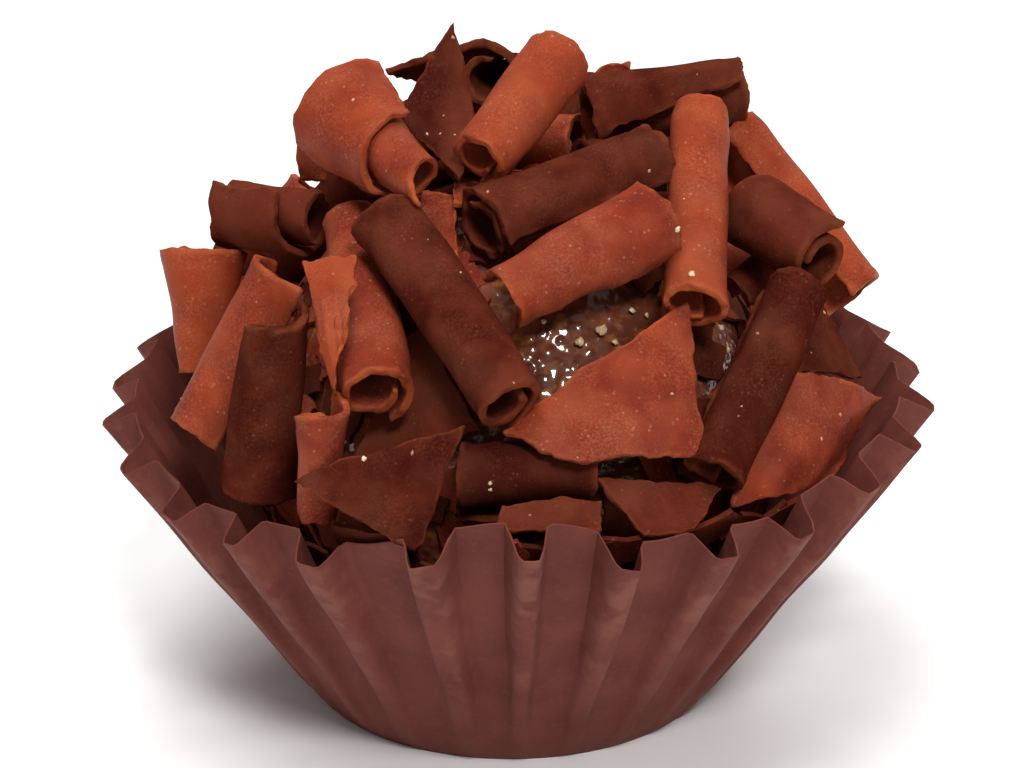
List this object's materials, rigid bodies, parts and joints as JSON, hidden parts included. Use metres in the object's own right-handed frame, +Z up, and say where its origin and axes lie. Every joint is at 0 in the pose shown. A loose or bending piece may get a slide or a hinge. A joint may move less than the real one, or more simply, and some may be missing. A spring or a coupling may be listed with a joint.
{
  "type": "brigadeiro",
  "caption": "Ball of chocolate fudge in a fluted paper case, covered all over with rolled shavings and flakes of milk and dark chocolate.",
  "frame": {"origin": "middle of the underside of the paper case's flat base, on the surface it stands on", "axes": "+Z up, -Y the front of the sweet, +X to its right"},
  "size_m": [0.0483, 0.0488, 0.0396],
  "materials": {
    "paper": "matt reddish-brown baking paper, pressed in pleats, with a slight mottle",
    "milk_chocolate": "satin milk chocolate, finely speckled, with paler thin edges",
    "dark_chocolate": "smooth satin dark chocolate, paler at its thin edges",
    "fudge": "glossy, sticky, uneven chocolate fudge"
  },
  "bodies": {
    "root": {"paper_case": "paper", "cone_top_left": "milk_chocolate", "spike": "dark_chocolate", "arc_top_back": "dark_chocolate", "under_crown": "dark_chocolate", "top_light": "milk_chocolate", "bit_back": "milk_chocolate", "top_right_dark": "dark_chocolate", "mid_dark": "dark_chocolate", "mid_light": "milk_chocolate", "small_mid": "milk_chocolate", "under_top": "milk_chocolate", "fill_right": "dark_chocolate", "back_crown_1": "dark_chocolate", "back_crown_2": "dark_chocolate", "back_crown_3": "milk_chocolate", "vertical": "milk_chocolate", "right_flap": "milk_chocolate", "right_under": "dark_chocolate", "right_dark": "dark_chocolate", "right_long": "dark_chocolate", "right_edge_dark": "dark_chocolate", "shell_right": "milk_chocolate", "left_long": "dark_chocolate", "left_vertical": "milk_chocolate", "left_thin": "milk_chocolate", "left_dark_top": "dark_chocolate", "far_left": "milk_chocolate", "left_sheet": "milk_chocolate", "left_dark": "dark_chocolate", "lower_left": "milk_chocolate", "tiny_left": "milk_chocolate", "left_crumb": "milk_chocolate", "flake_front_big": "milk_chocolate", "flake_front_left": "dark_chocolate", "flake_behind": "dark_chocolate", "front_right_low": "dark_chocolate", "slab_front": "dark_chocolate", "dark_front": "dark_chocolate", "back_low_1": "milk_chocolate", "back_low_2": "dark_chocolate", "back_low_3": "milk_chocolate", "back_low_4": "milk_chocolate", "back_low_5": "dark_chocolate", "back_mid_1": "dark_chocolate", "back_mid_2": "milk_chocolate", "back_mid_3": "milk_chocolate", "back_mid_4": "dark_chocolate", "back_high_1": "milk_chocolate", "back_high_2": "milk_chocolate", "back_over_1": "milk_chocolate", "back_over_2": "dark_chocolate", "back_over_3": "milk_chocolate", "back_over_4": "milk_chocolate", "back_over_5": "milk_chocolate", "back_over_6": "dark_chocolate", "back_over_7": "milk_chocolate", "back_over_8": "milk_chocolate", "back_over_9": "dark_chocolate", "fudge_ball": "fudge"}
  },
  "joints": []
}
